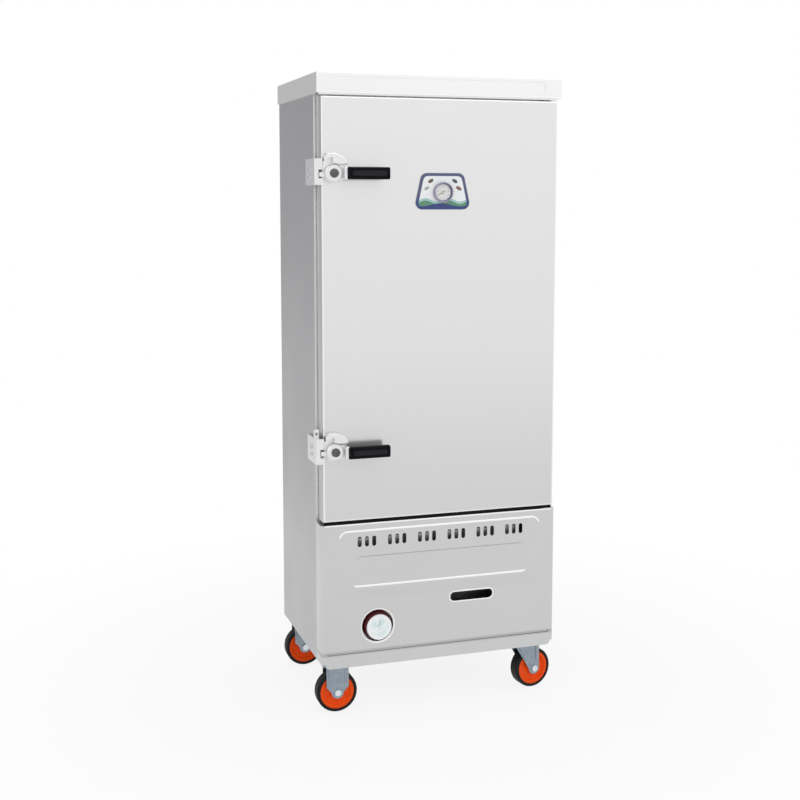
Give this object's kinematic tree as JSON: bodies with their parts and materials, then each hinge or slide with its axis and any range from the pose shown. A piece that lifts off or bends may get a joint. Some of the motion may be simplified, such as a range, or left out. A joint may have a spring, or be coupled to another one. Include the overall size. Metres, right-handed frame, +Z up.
{
  "type": "gas rice steamer",
  "caption": "Upright insulated steam cabinet with a latched front door over a gas-fired water tank, holding racked trays and standing on casters.",
  "frame": {"origin": "middle of the cabinet's width and of the overall depth, at floor level", "axes": "+X along the front to the hinge side, the door faces -Y, +Z up"},
  "size_m": [0.6237, 0.491, 1.52],
  "materials": {
    "casing_steel": "satin sheet",
    "door_steel": "satin sheet, faintly mirroring",
    "inner_steel": "plain sheet",
    "frame_steel": "galvanised",
    "tray_steel": "satin",
    "foam": "cut foam",
    "seal": "soft extrusion",
    "burner_iron": "as cast",
    "gas_brass": "machined",
    "gas_tube": "zinc plated",
    "rail_steel": "black oxide",
    "latch_casting": "polished casting",
    "latch_bolt": "turned",
    "grip_plastic": "smooth moulding",
    "gauge_print": "printed plate",
    "gauge_body": "smooth moulding",
    "needle_paint": "painted",
    "lens": "clear",
    "knob_plastic": "smooth moulding",
    "knob_disc": "bright disc",
    "caster_zinc": "zinc plated pressing",
    "axle_steel": "zinc plated",
    "wheel_core": "moulded",
    "wheel_tyre": "moulded",
    "handle_paint": "dipped",
    "float_brass": "spun"
  },
  "bodies": {
    "cabinet": {"side_panels": "casing_steel", "back_panel": "casing_steel", "top_cap": "casing_steel", "front_frame": "casing_steel", "base_frame": "frame_steel", "chamber_liner": "inner_steel", "insulation": "foam", "tray_racks": "tray_steel", "trays": "tray_steel", "water_tank": "inner_steel", "fire_tubes": "inner_steel", "steam_grid": "inner_steel", "flue": "inner_steel", "steam_vent": "inner_steel", "water_inlet": "gas_brass", "drain_pipe": "gas_brass", "burner_shroud": "frame_steel", "burners": "burner_iron", "gas_manifold": "rail_steel", "gas_valve": "gas_brass", "gas_pipe": "gas_tube", "lower_panel": "casing_steel", "hinge_brackets": "casing_steel", "latch_strikes": "latch_casting", "strike_screws": "axle_steel", "caster_brackets_left": "caster_zinc", "caster_axles_left": "axle_steel", "caster_plates_right": "caster_zinc"},
    "door": {"door_skin": "door_steel", "door_foam": "foam", "door_inner_skin": "inner_steel", "door_gasket": "seal", "hinge_bushes": "gas_brass", "gauge_plate": "gauge_print", "gauge_case": "gauge_body", "gauge_lens": "lens", "latch_housings": "latch_casting", "latch_bolts": "latch_bolt"},
    "gauge_needle": {"gauge_needle": "needle_paint"},
    "latch_upper": {"latch_lever_upper": "latch_casting", "latch_grip_upper": "grip_plastic"},
    "latch_lower": {"latch_lever_lower": "latch_casting", "latch_grip_lower": "grip_plastic"},
    "valve_stem": {"valve_stem": "gas_brass"},
    "gas_knob": {"gas_knob": "knob_plastic", "knob_cap": "knob_disc"},
    "float": {"float_arm": "float_brass"},
    "drain_handle": {"drain_handle": "handle_paint"},
    "swivel_front": {"caster_fork_right_front": "caster_zinc", "caster_axle_right_front": "axle_steel"},
    "wheel_right_front": {"wheel_core_right_front": "wheel_core", "tyre_right_front": "wheel_tyre"},
    "wheel_left_front": {"wheel_core_left_front": "wheel_core", "tyre_left_front": "wheel_tyre"},
    "swivel_rear": {"caster_fork_right_rear": "caster_zinc", "caster_axle_right_rear": "axle_steel"},
    "wheel_right_rear": {"wheel_core_right_rear": "wheel_core", "tyre_right_rear": "wheel_tyre"},
    "wheel_left_rear": {"wheel_core_left_rear": "wheel_core", "tyre_left_rear": "wheel_tyre"}
  },
  "joints": [
    {"name": "door_hinge", "type": "hinge", "parent": "cabinet", "child": "door", "pos_m": [0.281, -0.1815, 0.9705], "axis": [0, 0, 1], "range_deg": [0, 135]},
    {"name": "gauge_needle_turn", "type": "hinge", "parent": "door", "child": "gauge_needle", "pos_m": [0, -0.2077, 1.248], "axis": [0, 1, 0], "range_deg": [0, 240]},
    {"name": "latch_upper_turn", "type": "hinge", "parent": "door", "child": "latch_upper", "pos_m": [-0.268, -0.2145, 1.291], "axis": [0, 1, 0], "range_deg": [-3, 75]},
    {"name": "latch_lower_turn", "type": "hinge", "parent": "door", "child": "latch_lower", "pos_m": [-0.268, -0.2145, 0.645], "axis": [0, 1, 0], "range_deg": [-3, 75]},
    {"name": "stem_push", "type": "slide", "parent": "cabinet", "child": "valve_stem", "axis": [0, 1, 0], "range_m": [0, 0.003], "stiffness_N_per_m": 800, "springref_m": -0.002},
    {"name": "gas_knob_turn", "type": "hinge", "parent": "valve_stem", "child": "gas_knob", "pos_m": [-0.161, -0.2065, 0.213], "axis": [0, -1, 0], "range_deg": [0, 210]},
    {"name": "float_hinge", "type": "hinge", "parent": "cabinet", "child": "float", "pos_m": [0.2, 0.151, 0.458], "axis": [-1, 0, 0], "range_deg": [-9, 5]},
    {"name": "drain_handle_turn", "type": "hinge", "parent": "cabinet", "child": "drain_handle", "pos_m": [0.246, 0.215, 0.329], "axis": [0, 0, -1], "range_deg": [0, 90]},
    {"name": "swivel_front_turn", "type": "hinge", "parent": "cabinet", "child": "swivel_front", "pos_m": [0.24221, -0.1625, 0.112], "axis": [0, 0, 1], "continuous": true},
    {"name": "wheel_right_front_spin", "type": "hinge", "parent": "swivel_front", "child": "wheel_right_front", "pos_m": [0.256, -0.16007, 0.05], "axis": [-0.1736, 0.9848, 0], "continuous": true},
    {"name": "wheel_left_front_spin", "type": "hinge", "parent": "cabinet", "child": "wheel_left_front", "pos_m": [-0.256, -0.1625, 0.05], "axis": [0, 1, 0], "continuous": true},
    {"name": "swivel_rear_turn", "type": "hinge", "parent": "cabinet", "child": "swivel_rear", "pos_m": [0.24221, 0.1665, 0.112], "axis": [0, 0, 1], "continuous": true},
    {"name": "wheel_right_rear_spin", "type": "hinge", "parent": "swivel_rear", "child": "wheel_right_rear", "pos_m": [0.256, 0.16893, 0.05], "axis": [-0.1736, 0.9848, 0], "continuous": true},
    {"name": "wheel_left_rear_spin", "type": "hinge", "parent": "cabinet", "child": "wheel_left_rear", "pos_m": [-0.256, 0.1665, 0.05], "axis": [0, 1, 0], "continuous": true}
  ]
}
